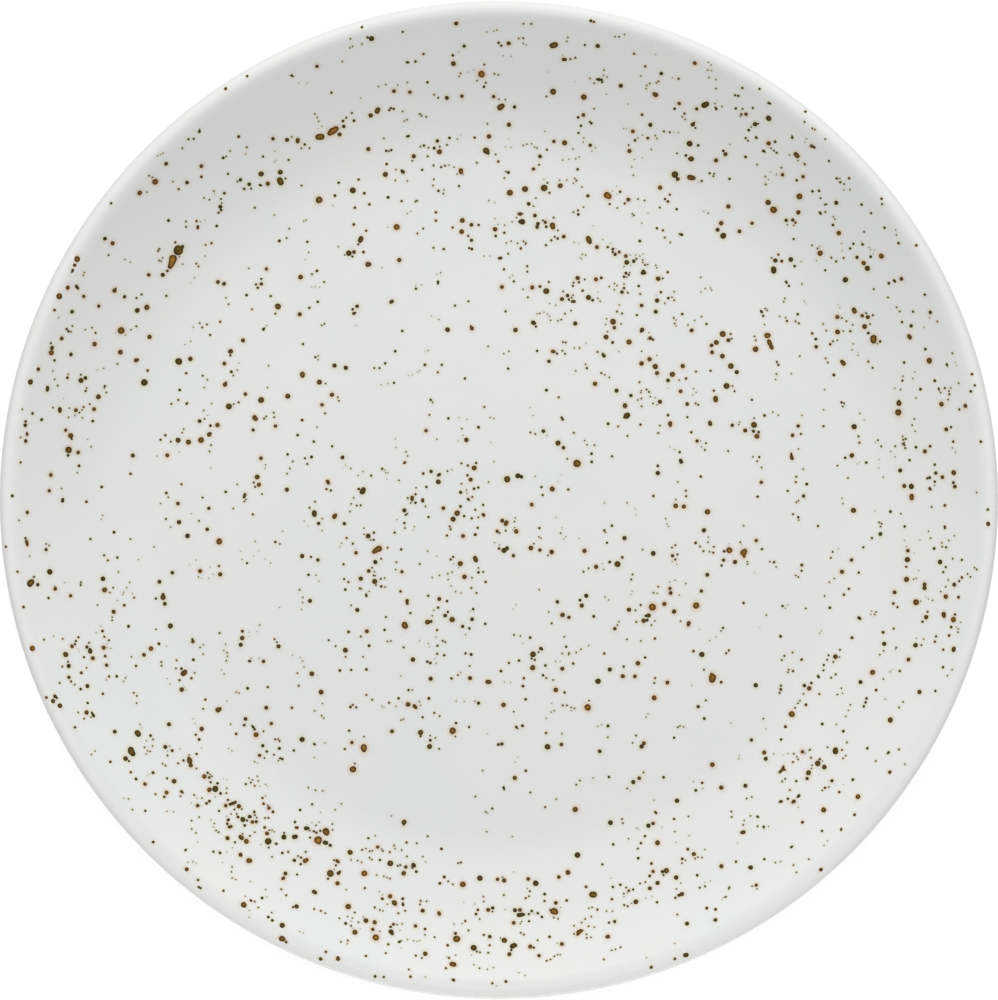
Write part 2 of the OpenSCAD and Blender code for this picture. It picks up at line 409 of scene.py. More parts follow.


# Spots
# Every spot that stands out in the photograph, read from it, enlarged sheet by
# sheet. Each pair is a sheet's corner in the photograph, in pixels, and each spot has its
# place right of and below that corner and its width, in enlarged pixels. A streak or a
# double spot is a row of spots that lap.
spotView = {
    "middle": (498.9, 499.7),     # of the plate's outline, in pixels from the photograph's corner
    "radius": 499.15,
    "enlargement": 6.272,
}
spotSheets = {
    (0, 0): [
        (1550, 477, 15), (1415, 556, 20), (1252, 812, 16), (1250, 826, 20), (1497, 857, 20),
        (1182, 873, 14), (1215, 871, 14), (1400, 990, 19), (1042, 1027, 25), (1263, 1042, 24),
        (1263, 1109, 18), (973, 1140, 38), (876, 1210, 30), (1173, 1145, 24), (1121, 1186, 14),
        (1430, 1091, 14), (1508, 1128, 22), (1563, 1156, 24), (1407, 1212, 18), (697, 1275, 15),
        (1382, 1297, 26), (1387, 1317, 18), (1371, 1334, 14), (1057, 1383, 20), (1233, 1387, 14),
        (1241, 1420, 18), (1240, 1432, 16), (1359, 1417, 17), (658, 1497, 25), (706, 1526, 27),
        (1145, 1546, 24), (1327, 1525, 14),
    ],
    (250, 0): [
        (702, 170, 15), (762, 242, 34), (738, 235, 16), (958, 200, 14), (1293, 147, 27), (1559, 268, 17),
        (1343, 289, 21), (1272, 347, 17), (1276, 399, 31), (1088, 339, 15), (984, 391, 16), (993, 391, 14),
        (1038, 386, 16), (1003, 578, 22), (903, 572, 24), (1113, 516, 16), (1452, 465, 42), (1467, 544, 17),
        (1235, 614, 25), (1329, 603, 22), (1528, 606, 22), (420, 416, 22), (260, 473, 16), (270, 478, 12),
        (511, 581, 15), (144, 870, 22), (232, 877, 26), (299, 876, 24), (299, 888, 24), (343, 906, 16),
        (428, 858, 37), (450, 858, 37), (500, 837, 32), (518, 822, 40), (538, 808, 36), (583, 759, 18),
        (588, 793, 22), (562, 843, 26), (652, 757, 19), (757, 724, 28), (796, 700, 30), (803, 687, 30),
        (873, 690, 14), (884, 678, 14), (902, 683, 15), (742, 935, 26), (984, 856, 14), (995, 853, 17),
        (855, 946, 17), (886, 941, 15), (1091, 913, 16), (1175, 884, 22), (1251, 865, 17), (1155, 929, 20),
        (1188, 952, 32), (1409, 863, 15), (1499, 856, 28), (1481, 945, 40), (1493, 962, 20),
        (1557, 1013, 16), (1027, 980, 27), (82, 982, 14), (70, 1091, 34), (190, 1080, 31), (187, 1130, 38),
        (193, 1144, 38), (112, 1152, 27), (62, 1160, 15), (73, 1163, 15), (857, 1029, 17), (849, 1094, 32),
        (951, 1070, 16), (960, 1079, 24), (1080, 1065, 15), (1199, 1048, 14), (1323, 1069, 28),
        (1323, 1079, 28), (1311, 1167, 14), (556, 1146, 16), (681, 1126, 15), (645, 1194, 38),
        (717, 1212, 18), (433, 1254, 42), (533, 1227, 18), (866, 1238, 20), (951, 1261, 14),
        (1182, 1197, 16), (749, 1282, 16), (658, 1303, 16), (1166, 1332, 16), (1166, 1384, 15),
        (1332, 1383, 31), (1328, 1453, 30), (1389, 1410, 24), (1434, 1411, 16), (1271, 1427, 14),
        (1537, 1438, 28), (1541, 1480, 18), (651, 1408, 18), (729, 1447, 14), (920, 1424, 38),
        (697, 1495, 30), (691, 1509, 30), (679, 1532, 14), (184, 1511, 20), (360, 1517, 15),
        (1215, 1562, 15), (1389, 1507, 21), (1375, 1556, 14), (1392, 1562, 18),
    ],
    (500, 0): [
        (570, 131, 20), (589, 137, 15), (54, 272, 27), (8, 286, 15), (330, 286, 38), (345, 281, 38),
        (399, 373, 24), (409, 373, 22), (533, 282, 14), (613, 288, 28), (841, 337, 14), (911, 416, 14),
        (1012, 461, 24), (1120, 494, 14), (1222, 396, 25), (606, 498, 14), (620, 499, 22), (636, 500, 20),
        (641, 515, 14), (758, 538, 27), (964, 588, 18), (976, 594, 32), (333, 575, 38), (526, 609, 36),
        (0, 674, 38), (14, 664, 32), (91, 671, 22), (891, 719, 17), (523, 721, 23), (490, 736, 18),
        (564, 764, 12), (573, 773, 17), (508, 789, 16), (493, 834, 14), (943, 783, 27), (833, 824, 23),
        (847, 880, 17), (927, 866, 19), (812, 947, 26), (566, 911, 22), (56, 782, 27), (338, 887, 22),
        (405, 896, 32), (251, 981, 24), (1124, 649, 22), (1095, 682, 18), (1234, 683, 21), (1157, 712, 14),
        (1281, 660, 38), (1297, 652, 32), (1357, 683, 19), (1350, 673, 12), (1209, 781, 27),
        (1219, 768, 12), (1479, 680, 16), (1514, 717, 16), (1543, 716, 22), (1560, 816, 18),
        (1541, 866, 14), (1540, 984, 18), (1475, 597, 14), (1494, 601, 16), (1520, 552, 15),
        (1189, 901, 37), (1243, 912, 17), (1166, 975, 18), (1200, 997, 34), (1187, 995, 18),
        (1401, 946, 17), (1414, 967, 26), (1355, 1006, 26), (1097, 1095, 42), (1114, 1122, 26),
        (1188, 1112, 32), (1203, 1115, 30), (1216, 1117, 26), (1004, 1177, 27), (1065, 1221, 14),
        (1035, 1248, 15), (1053, 1264, 18), (1108, 1312, 15), (1432, 1295, 27), (1315, 1087, 14),
        (1439, 1122, 15), (1387, 1400, 28), (1365, 1441, 26), (1400, 1479, 38), (1502, 1451, 24),
        (1140, 1472, 20), (1127, 1468, 12), (984, 1432, 15), (487, 1062, 17), (753, 1203, 16),
        (671, 1224, 40), (681, 1231, 36), (805, 1252, 25), (782, 1276, 14), (688, 1280, 14),
        (551, 1229, 21), (378, 1165, 31), (277, 1179, 42), (310, 1209, 14), (157, 1186, 38), (62, 1209, 38),
        (53, 1082, 20), (210, 1060, 21), (180, 1279, 24), (118, 1343, 18), (128, 1342, 23), (142, 1341, 11),
        (139, 1391, 38), (121, 1391, 16), (219, 1352, 24), (238, 1403, 24), (233, 1424, 24),
        (284, 1394, 21), (290, 1422, 18), (328, 1411, 32), (332, 1425, 30), (400, 1484, 24),
        (362, 1496, 17), (322, 1507, 14), (288, 1538, 14), (491, 1345, 18), (552, 1494, 30),
        (558, 1506, 33), (564, 1518, 27), (608, 1550, 25), (676, 1550, 15), (708, 1562, 18),
        (877, 1512, 18), (27, 1460, 15), (130, 1558, 16),
    ],
    (750, 0): [
        (60, 558, 14), (116, 646, 17), (127, 650, 14), (348, 700, 16), (18, 677, 14), (117, 742, 36),
        (32, 779, 29), (51, 775, 12), (39, 863, 19), (117, 899, 27), (158, 889, 18), (84, 947, 20),
        (95, 953, 12), (167, 958, 14), (263, 850, 15), (265, 863, 17), (286, 966, 27), (297, 978, 30),
        (386, 916, 22), (403, 924, 19), (495, 1010, 14), (544, 1119, 16), (566, 1143, 15), (622, 1118, 16),
        (204, 1096, 22), (333, 1108, 22), (293, 1131, 16), (392, 1200, 17), (433, 1197, 17),
        (310, 1232, 38), (114, 1270, 34), (148, 1316, 42), (303, 1332, 28), (541, 1272, 27),
        (438, 1333, 17), (446, 1343, 13), (700, 1283, 17), (825, 1246, 15), (760, 1337, 14),
        (844, 1428, 16), (13, 1400, 21), (227, 1382, 22), (268, 1380, 22), (285, 1396, 16), (557, 1462, 28),
        (520, 1411, 18), (274, 1499, 14), (649, 1529, 15), (628, 1558, 15), (706, 1533, 18),
        (932, 1525, 18), (1043, 1539, 17),
    ],
    (0, 250): [
        (1118, 2, 62), (1085, 55, 50), (1078, 80, 40), (1068, 102, 32), (1050, 131, 17), (1021, 156, 27),
        (933, 156, 23), (484, 57, 36), (468, 95, 21), (456, 126, 17), (452, 139, 16), (425, 236, 26),
        (480, 228, 22), (490, 241, 19), (372, 290, 37), (525, 291, 21), (342, 377, 17), (452, 387, 25),
        (619, 352, 21), (718, 255, 28), (725, 240, 12), (781, 293, 22), (921, 360, 34), (861, 379, 31),
        (1044, 288, 14), (1367, 201, 25), (1405, 212, 25), (1546, 283, 18), (760, 505, 43), (938, 545, 28),
        (593, 590, 29), (755, 641, 31), (418, 496, 16), (430, 510, 16), (387, 555, 25), (326, 614, 27),
        (322, 644, 33), (342, 692, 16), (445, 655, 24), (240, 748, 24), (191, 828, 33), (298, 864, 24),
        (297, 878, 22), (423, 801, 18), (508, 818, 33), (535, 803, 25), (537, 884, 14), (657, 854, 15),
        (617, 921, 31), (853, 692, 27), (862, 688, 20), (926, 756, 17), (905, 831, 42), (1121, 699, 43),
        (1194, 683, 29), (1168, 773, 15), (1318, 533, 14), (1381, 450, 14), (1524, 567, 26),
        (1446, 636, 31), (1445, 661, 14), (1407, 712, 24), (1451, 764, 19), (1411, 844, 28),
        (1418, 830, 12), (1539, 904, 23), (1436, 981, 38), (1127, 878, 18), (1170, 965, 15),
        (1176, 958, 10), (1252, 1073, 24), (1320, 1102, 18), (1364, 1098, 28), (1312, 1157, 29),
        (1320, 1151, 16), (1261, 1192, 37), (1182, 1205, 32), (1117, 1193, 32), (1037, 1162, 15),
        (1007, 1190, 14), (590, 998, 25), (582, 1073, 18), (375, 996, 24), (376, 1010, 24), (476, 1005, 25),
        (204, 1025, 18), (261, 1064, 20), (161, 1076, 18), (158, 1099, 24), (170, 1157, 20),
        (169, 1145, 12), (161, 1198, 24), (412, 1130, 21), (443, 1164, 33), (451, 1184, 18),
        (430, 1254, 42), (427, 1288, 19), (490, 1270, 23), (496, 1354, 19), (833, 1289, 26),
        (1049, 1288, 25), (819, 1404, 16), (129, 1332, 14), (319, 1411, 24), (309, 1510, 21),
        (77, 1542, 20), (638, 1486, 18), (394, 1564, 20), (1043, 1524, 18), (1416, 1517, 17),
        (1536, 1535, 21), (1531, 1549, 20),
    ],
    (250, 250): [
        (620, 20, 36), (652, 13, 24), (642, 41, 14), (712, 13, 18), (740, 90, 34), (751, 90, 22),
        (936, 63, 27), (103, 119, 21), (71, 213, 22), (38, 216, 14), (71, 181, 14), (49, 237, 16),
        (317, 170, 30), (420, 131, 18), (130, 289, 14), (175, 354, 38), (312, 403, 26), (372, 363, 15),
        (425, 325, 16), (84, 499, 19), (90, 489, 12), (332, 590, 14), (410, 672, 14), (672, 353, 23),
        (644, 372, 17), (651, 398, 21), (660, 394, 13), (884, 327, 22), (892, 321, 22), (1041, 243, 16),
        (1179, 199, 18), (1180, 211, 14), (1286, 349, 14), (1562, 52, 17), (1239, 500, 31), (1392, 492, 26),
        (1385, 477, 12), (955, 508, 16), (911, 635, 17), (848, 711, 16), (903, 833, 14), (530, 725, 27),
        (601, 739, 28), (329, 781, 34), (329, 789, 26), (435, 829, 32), (237, 917, 32), (514, 908, 27),
        (452, 971, 23), (70, 941, 38), (28, 1050, 30), (36, 1060, 28), (20, 1129, 21), (160, 1104, 22),
        (327, 1067, 18), (299, 1161, 17), (400, 1202, 16), (515, 1231, 14), (236, 1282, 16), (69, 1306, 23),
        (386, 1298, 20), (580, 1301, 25), (45, 1424, 31), (56, 1472, 26), (231, 1503, 27), (487, 1452, 24),
        (492, 1462, 20), (480, 1500, 14), (507, 1508, 14), (705, 1516, 36), (711, 1503, 32),
        (682, 1499, 17), (760, 1415, 14), (829, 1372, 15), (967, 1336, 15), (975, 1331, 13),
        (1087, 1402, 17), (1136, 1389, 22), (1188, 1408, 21), (1181, 1413, 17), (1181, 1454, 31),
        (1104, 1133, 22), (1133, 940, 15), (1244, 1056, 16), (1357, 1191, 29), (1433, 1112, 19),
        (1097, 720, 18), (1203, 720, 15), (1348, 806, 15), (1406, 1367, 31), (1366, 1352, 15),
        (1418, 1336, 15), (1364, 1413, 16), (1384, 1440, 26), (1405, 1497, 17), (1432, 1490, 15),
        (1321, 1520, 21), (1368, 1562, 18), (1083, 1565, 20), (1017, 1553, 24), (1017, 1566, 20),
        (1038, 1532, 14), (1106, 1486, 15),
    ],
    (500, 250): [
        (6, 50, 20), (25, 121, 15), (87, 197, 14), (12, 232, 25), (202, 235, 26), (251, 229, 20),
        (290, 258, 38), (389, 308, 26), (424, 286, 23), (432, 311, 16), (453, 323, 20), (467, 323, 20),
        (487, 176, 27), (495, 202, 15), (518, 255, 16), (555, 298, 33), (581, 315, 19), (602, 184, 25),
        (635, 175, 19), (707, 12, 15), (722, 27, 22), (748, 13, 20), (789, 38, 23), (795, 78, 31),
        (839, 70, 23), (790, 145, 20), (778, 168, 17), (808, 155, 14), (778, 239, 16), (765, 264, 23),
        (899, 134, 22), (893, 145, 20), (907, 144, 20), (992, 180, 29), (1052, 139, 15), (870, 226, 16),
        (1009, 265, 16), (985, 317, 28), (1056, 302, 18), (977, 387, 26), (888, 348, 23), (859, 408, 14),
        (1143, 402, 16), (1295, 464, 14), (1202, 504, 25), (1397, 527, 38), (1357, 580, 31),
        (1327, 598, 24), (1330, 642, 25), (1432, 566, 25), (1395, 666, 30), (1448, 728, 36),
        (1485, 766, 27), (1321, 757, 14), (1421, 853, 38), (1341, 882, 14), (1352, 930, 30),
        (1353, 940, 30), (1317, 1083, 26), (1319, 1093, 24), (1457, 1099, 22), (1538, 1132, 26),
        (1200, 1143, 16), (1236, 1198, 21), (1174, 966, 24), (1003, 952, 27), (1054, 1036, 17),
        (1067, 1088, 28), (1069, 1103, 16), (1133, 886, 24), (1081, 780, 33), (1054, 818, 24),
        (1167, 806, 16), (1146, 728, 27), (938, 685, 28), (888, 712, 29), (974, 731, 34), (985, 772, 26),
        (942, 553, 24), (960, 562, 15), (891, 501, 29), (886, 510, 18), (809, 577, 33), (709, 450, 37),
        (717, 487, 22), (665, 546, 31), (706, 580, 20), (645, 654, 17), (653, 665, 22), (472, 461, 27),
        (208, 456, 29), (218, 460, 20), (225, 480, 14), (97, 502, 29), (35, 385, 14), (233, 633, 15),
        (331, 636, 24), (340, 638, 18), (357, 650, 14), (307, 698, 23), (51, 744, 15), (545, 741, 15),
        (596, 839, 28), (731, 882, 26), (821, 913, 22), (784, 976, 30), (793, 1041, 36), (801, 1034, 32),
        (779, 1050, 16), (881, 1095, 15), (678, 1090, 19), (291, 879, 20), (386, 1050, 14), (393, 1062, 18),
        (272, 1136, 24), (364, 1211, 33), (398, 1240, 23), (483, 1339, 47), (574, 1278, 18),
        (575, 1329, 18), (703, 1294, 14), (45, 1438, 40), (112, 1416, 33), (135, 1423, 25), (328, 1499, 32),
        (260, 1487, 15), (268, 1537, 14), (428, 1502, 15), (990, 1399, 28), (990, 1354, 18),
        (962, 1543, 15), (1133, 1320, 24), (1138, 1331, 23), (1127, 1268, 15), (1259, 1421, 16),
    ],
    (750, 250): [
        (440, 20, 34), (159, 66, 28), (199, 70, 20), (148, 119, 34), (149, 132, 34), (256, 60, 30),
        (280, 101, 17), (226, 199, 16), (232, 207, 12), (244, 225, 15), (671, 46, 22), (713, 82, 28),
        (736, 115, 34), (757, 42, 19), (824, 38, 32), (472, 127, 14), (598, 187, 35), (299, 403, 16),
        (232, 445, 14), (66, 380, 16), (74, 389, 17), (83, 413, 15), (106, 537, 34), (115, 535, 30),
        (118, 573, 29), (126, 590, 26), (136, 610, 30), (35, 622, 36), (178, 721, 14), (390, 523, 16),
        (413, 559, 19), (415, 607, 23), (503, 591, 16), (548, 420, 26), (549, 514, 31), (629, 509, 14),
        (652, 374, 28), (656, 386, 28), (704, 412, 22), (739, 421, 26), (719, 480, 31), (742, 521, 19),
        (775, 554, 42), (775, 566, 40), (816, 573, 17), (954, 452, 15), (1023, 387, 14), (1011, 476, 22),
        (997, 540, 25), (1004, 549, 25), (871, 209, 19), (903, 190, 16), (910, 198, 16), (950, 181, 24),
        (1096, 280, 16), (1131, 391, 23), (1100, 622, 18), (1125, 694, 36), (1234, 718, 15),
        (1239, 728, 13), (967, 706, 16), (956, 819, 14), (577, 701, 25), (588, 712, 28), (526, 784, 20),
        (574, 956, 15), (12, 940, 14), (91, 1038, 18), (25, 1097, 38), (22, 1137, 21), (54, 1142, 18),
        (43, 1168, 32), (302, 1104, 22), (267, 1162, 23), (319, 1154, 14), (461, 1105, 14), (653, 1108, 34),
        (639, 1289, 29), (597, 1304, 17), (729, 1333, 17), (259, 1279, 19), (260, 1293, 20),
        (263, 1306, 25), (58, 1299, 14), (71, 1457, 22), (356, 1468, 19), (236, 1511, 14), (336, 1543, 22),
        (48, 1547, 16), (934, 961, 34), (934, 946, 14), (930, 1018, 40), (1159, 820, 19), (1069, 873, 19),
        (1184, 870, 14), (1187, 881, 13), (1201, 967, 30), (1392, 779, 16), (1410, 849, 14),
        (1385, 887, 17), (1351, 978, 26), (1313, 1000, 14), (1231, 1125, 26), (1261, 1111, 15),
        (1275, 1202, 16), (1448, 1202, 17), (1041, 1237, 18), (1097, 1263, 26), (1130, 1231, 18),
        (1001, 1318, 16), (942, 1383, 26), (1159, 1346, 16), (1165, 1399, 22), (1207, 1425, 24),
        (1127, 1428, 20), (1112, 1432, 15), (1159, 1453, 16), (1278, 1397, 32), (1276, 1459, 20),
        (1285, 1484, 25), (968, 1480, 26), (1012, 1483, 34), (1013, 1543, 28), (1015, 1556, 28),
        (1127, 1495, 19), (1133, 1502, 16),
    ],
    (0, 500): [
        (171, 78, 22), (37, 293, 15), (160, 240, 16), (167, 262, 24), (170, 280, 24), (289, 311, 21),
        (110, 450, 14), (312, 451, 36), (188, 524, 42), (199, 514, 36), (237, 531, 23), (213, 483, 14),
        (346, 557, 24), (304, 615, 16), (148, 671, 17), (443, 601, 21), (542, 11, 17), (392, 6, 22),
        (567, 245, 14), (715, 202, 19), (736, 361, 15), (646, 494, 30), (656, 564, 32), (713, 701, 26),
        (779, 660, 18), (806, 792, 20), (643, 822, 18), (1081, 456, 23), (1000, 513, 25), (1022, 591, 20),
        (1023, 611, 34), (1034, 651, 25), (978, 618, 15), (1069, 790, 33), (1116, 22, 24), (1123, 139, 28),
        (1176, 225, 30), (1310, 52, 21), (1300, 184, 23), (1375, 260, 38), (1373, 414, 14), (1381, 466, 27),
        (1255, 446, 26), (1549, 396, 14), (1520, 823, 20), (1519, 866, 28), (1510, 908, 26),
        (1210, 888, 22), (1206, 873, 14), (1213, 1002, 19), (947, 932, 29), (997, 902, 20), (903, 971, 24),
        (853, 1041, 16), (650, 926, 26), (660, 979, 18), (669, 1036, 22), (684, 1107, 14), (732, 1106, 18),
        (545, 922, 21), (566, 950, 30), (563, 935, 18), (582, 992, 26), (527, 986, 14), (510, 1084, 20),
        (548, 1167, 26), (506, 1186, 18), (446, 1138, 14), (432, 1112, 22), (431, 1041, 28), (412, 969, 34),
        (452, 917, 24), (470, 904, 16), (476, 884, 14), (492, 861, 14), (203, 931, 33), (291, 1239, 18),
        (344, 1231, 22), (356, 1241, 20), (333, 1261, 27), (376, 1290, 29), (550, 1273, 16),
        (543, 1333, 28), (576, 1334, 17), (587, 1354, 21), (582, 1345, 16), (645, 1216, 16),
        (470, 1426, 16), (720, 1453, 25), (862, 1460, 36), (868, 1470, 34), (944, 1478, 18),
        (820, 1566, 38), (1037, 1549, 26), (1060, 1407, 26), (1148, 1090, 32), (1161, 1078, 30),
        (1138, 1058, 18), (1201, 1118, 15), (1126, 1130, 14), (1140, 1189, 29), (1553, 1181, 20),
        (1562, 1010, 16), (1288, 1252, 14), (1366, 1317, 32), (1379, 1311, 25), (1540, 1373, 24),
        (1532, 1412, 18), (1481, 1467, 16), (1265, 1436, 28), (1228, 1472, 14), (1249, 1502, 19),
    ],
    (250, 500): [
        (403, 80, 32), (404, 92, 30), (430, 147, 22), (529, 105, 29), (535, 96, 24), (592, 148, 22),
        (159, 263, 16), (327, 352, 28), (382, 357, 14), (426, 376, 22), (367, 469, 17), (665, 331, 22),
        (587, 403, 14), (598, 562, 17), (376, 633, 26), (741, 226, 31), (777, 205, 15), (776, 250, 14),
        (808, 305, 40), (793, 314, 30), (778, 325, 28), (786, 389, 27), (745, 445, 24), (695, 493, 27),
        (782, 511, 33), (823, 542, 16), (730, 601, 17), (728, 589, 10), (673, 690, 27), (618, 827, 18),
        (733, 823, 25), (844, 815, 16), (747, 914, 19), (598, 942, 32), (564, 1069, 18), (635, 1066, 14),
        (730, 1063, 18), (179, 918, 26), (85, 1012, 22), (112, 1174, 14), (2, 1011, 14), (388, 1090, 30),
        (446, 1205, 31), (263, 1303, 16), (102, 1303, 25), (134, 1402, 21), (12, 1413, 15), (20, 1424, 18),
        (29, 1438, 16), (38, 1472, 31), (80, 1541, 21), (184, 1558, 20), (327, 1502, 33), (403, 1530, 16),
        (410, 1535, 10), (622, 1447, 15), (639, 1521, 21), (630, 1298, 18), (666, 1301, 14),
        (714, 1553, 42), (595, 1562, 14), (891, 1451, 25), (932, 1244, 16), (991, 1282, 30),
        (1031, 1292, 24), (1040, 1302, 20), (994, 1192, 15), (1122, 1244, 19), (1083, 1363, 14),
        (1070, 1458, 33), (1070, 1481, 14), (1131, 1507, 19), (1126, 1546, 32), (1271, 1447, 41),
        (1292, 1399, 16), (1374, 1424, 14), (1558, 1534, 20), (1433, 1274, 21), (1490, 1141, 28),
        (1503, 1141, 24), (1380, 1117, 26), (1264, 1119, 16), (1133, 1121, 27), (1112, 1014, 17),
        (1131, 1022, 18), (1022, 1001, 29), (1176, 914, 14), (1218, 974, 15), (1352, 962, 15),
        (1387, 969, 20), (969, 783, 38), (975, 792, 34), (1006, 709, 14), (1113, 766, 32), (1135, 761, 22),
        (1224, 725, 24), (1241, 702, 15), (1268, 750, 34), (1180, 675, 16), (1187, 621, 25),
        (1236, 634, 17), (1118, 601, 14), (985, 633, 24), (987, 649, 20), (944, 573, 16), (1334, 793, 21),
        (1376, 805, 17), (1393, 748, 24), (1475, 777, 16), (1400, 684, 16), (1345, 482, 29),
        (1433, 454, 17), (1478, 514, 15), (1319, 399, 32), (1411, 364, 28), (1418, 378, 27),
        (1274, 357, 14), (1258, 373, 14), (953, 450, 21), (948, 310, 15), (907, 205, 14), (968, 65, 27),
        (968, 144, 15), (1038, 17, 17), (1083, 8, 20), (1120, 107, 14), (1213, 51, 24), (1274, 120, 33),
        (1299, 83, 35), (1320, 40, 19), (1343, 101, 16), (1235, 223, 14), (1336, 226, 25), (1391, 115, 14),
        (1428, 174, 14), (1413, 217, 20), (1463, 92, 22), (1468, 99, 14), (1462, 31, 14), (1377, 4, 14),
        (1550, 196, 21), (1562, 305, 17),
    ],
    (500, 500): [
        (199, 29, 24), (14, 130, 26), (41, 140, 26), (35, 151, 25), (102, 197, 28), (247, 176, 15),
        (654, 191, 15), (702, 161, 16), (671, 268, 14), (781, 239, 27), (530, 319, 27), (603, 419, 27),
        (688, 389, 19), (737, 402, 38), (767, 360, 18), (25, 316, 34), (44, 304, 28), (84, 349, 22),
        (194, 301, 30), (250, 314, 22), (324, 326, 29), (360, 639, 23), (392, 721, 29), (432, 736, 22),
        (513, 662, 27), (502, 628, 19), (541, 601, 27), (588, 730, 20), (720, 807, 22), (809, 688, 27),
        (961, 335, 31), (1082, 350, 21), (1102, 37, 30), (1153, 41, 27), (1301, 74, 34), (1279, 190, 28),
        (1227, 269, 18), (1438, 315, 38), (1406, 322, 18), (1402, 377, 21), (1390, 411, 15),
        (1474, 389, 27), (1527, 331, 40), (1535, 322, 32), (1531, 353, 20), (1300, 469, 25),
        (1066, 555, 21), (1070, 583, 25), (956, 672, 44), (1031, 652, 26), (1092, 700, 28), (915, 727, 18),
        (932, 724, 28), (901, 757, 29), (923, 753, 20), (972, 869, 15), (1184, 771, 25), (1181, 785, 19),
        (1230, 662, 40), (1263, 571, 22), (1399, 802, 14), (1528, 646, 16), (189, 863, 18), (256, 931, 22),
        (265, 938, 12), (207, 968, 37), (198, 995, 14), (218, 1003, 14), (205, 1052, 33), (119, 1007, 16),
        (56, 1022, 14), (6, 1073, 18), (150, 1118, 15), (144, 1167, 18), (285, 1038, 16), (270, 1099, 16),
        (161, 1250, 17), (22, 1285, 29), (415, 920, 15), (391, 1058, 26), (459, 1026, 16), (654, 963, 15),
        (350, 1191, 29), (405, 1207, 15), (615, 1137, 35), (689, 1063, 27), (776, 1045, 15),
        (770, 1105, 26), (846, 1106, 23), (865, 1024, 29), (910, 988, 15), (1213, 948, 17), (1266, 969, 34),
        (1050, 1145, 25), (967, 1241, 31), (1333, 1112, 44), (1330, 1128, 38), (1326, 1092, 19),
        (1387, 1143, 18), (1243, 1296, 21), (1281, 1371, 19), (1092, 1491, 15), (550, 1301, 40),
        (677, 1417, 20), (102, 1424, 17), (112, 1434, 16), (141, 1416, 20), (289, 1461, 14), (12, 1530, 21),
        (298, 1548, 36), (385, 1533, 23), (902, 1526, 25), (888, 1546, 28),
    ],
    (750, 500): [
        (649, 65, 33), (881, 73, 19), (303, 108, 15), (426, 163, 14), (39, 254, 21), (75, 308, 15),
        (151, 390, 15), (325, 408, 20), (323, 443, 14), (637, 376, 22), (577, 450, 26), (682, 456, 15),
        (711, 297, 14), (765, 239, 14), (818, 213, 25), (620, 557, 15), (589, 594, 16), (204, 665, 15),
        (501, 676, 18), (683, 739, 21), (690, 744, 17), (970, 166, 16), (990, 318, 23), (987, 374, 34),
        (980, 419, 14), (982, 498, 33), (907, 579, 25), (899, 649, 18), (925, 672, 14), (1042, 641, 38),
        (1095, 529, 25), (1095, 552, 28), (1155, 304, 19), (1192, 389, 30), (1230, 297, 14),
        (1228, 421, 14), (1212, 452, 14), (1222, 34, 18), (1219, 163, 14), (1223, 175, 15), (1329, 376, 15),
        (1329, 486, 17), (1281, 531, 26), (1312, 509, 14), (1228, 606, 29), (1308, 610, 20), (1492, 60, 16),
        (1494, 150, 26), (1105, 735, 28), (1082, 763, 15), (1215, 716, 30), (1218, 733, 20),
        (1276, 750, 34), (1286, 718, 16), (1262, 797, 19), (1249, 850, 18), (1278, 933, 28),
        (1277, 943, 24), (1167, 855, 14), (1160, 889, 15), (1212, 939, 15), (1211, 1049, 18),
        (1038, 911, 30), (994, 1001, 25), (842, 902, 27), (835, 830, 20), (939, 1073, 15), (640, 864, 20),
        (191, 855, 19), (324, 1001, 17), (463, 1035, 14), (536, 983, 30), (270, 1073, 14), (425, 1101, 15),
        (431, 1111, 16), (341, 1164, 22), (371, 1181, 28), (385, 1148, 17), (36, 1162, 28), (193, 1188, 19),
        (351, 1284, 19), (262, 1343, 38), (222, 1422, 20), (195, 1502, 16), (9, 1505, 21), (453, 1405, 19),
        (585, 1450, 19), (731, 1245, 17), (725, 1269, 17), (714, 1294, 16), (791, 1192, 18),
        (693, 1142, 26), (769, 1081, 32), (880, 1380, 34), (1063, 1204, 28), (1163, 1198, 16),
        (736, 1557, 17), (536, 1565, 30),
    ],
    (0, 750): [
        (822, 8, 40), (833, 22, 36), (788, 54, 31), (809, 70, 14), (692, 74, 17), (1080, 4, 20),
        (960, 142, 20), (820, 139, 15), (853, 182, 20), (909, 214, 23), (1092, 196, 30), (1045, 267, 25),
        (1030, 294, 17), (1137, 260, 19), (1148, 269, 18), (911, 382, 15), (1240, 349, 23), (1295, 335, 18),
        (1313, 321, 19), (1233, 25, 15), (1151, 65, 15), (1184, 50, 20), (1190, 68, 36), (1196, 95, 28),
        (1282, 166, 28), (1302, 143, 15), (1312, 173, 17), (1321, 202, 15), (1350, 244, 40),
        (1314, 250, 30), (1364, 210, 19), (1383, 272, 19), (1542, 214, 14), (1416, 349, 23),
        (1430, 313, 15), (1444, 341, 22), (1460, 335, 22), (1476, 327, 22), (1498, 353, 28),
        (1374, 382, 14), (1430, 440, 20), (1437, 433, 12), (1426, 463, 17), (1438, 483, 21),
        (1449, 480, 20), (1493, 420, 19), (1523, 436, 33), (1549, 442, 14), (1564, 418, 22),
        (1535, 473, 18), (1427, 553, 27), (1508, 545, 26), (1516, 552, 28), (1545, 573, 31),
        (1474, 579, 14), (1339, 638, 15), (1380, 646, 18), (1509, 657, 27), (1560, 694, 33),
        (1402, 883, 16), (1529, 971, 37), (961, 577, 17), (1163, 629, 14), (1168, 619, 12), (1171, 748, 25),
        (1242, 815, 15), (1246, 860, 14), (1258, 866, 14),
    ],
    (250, 750): [
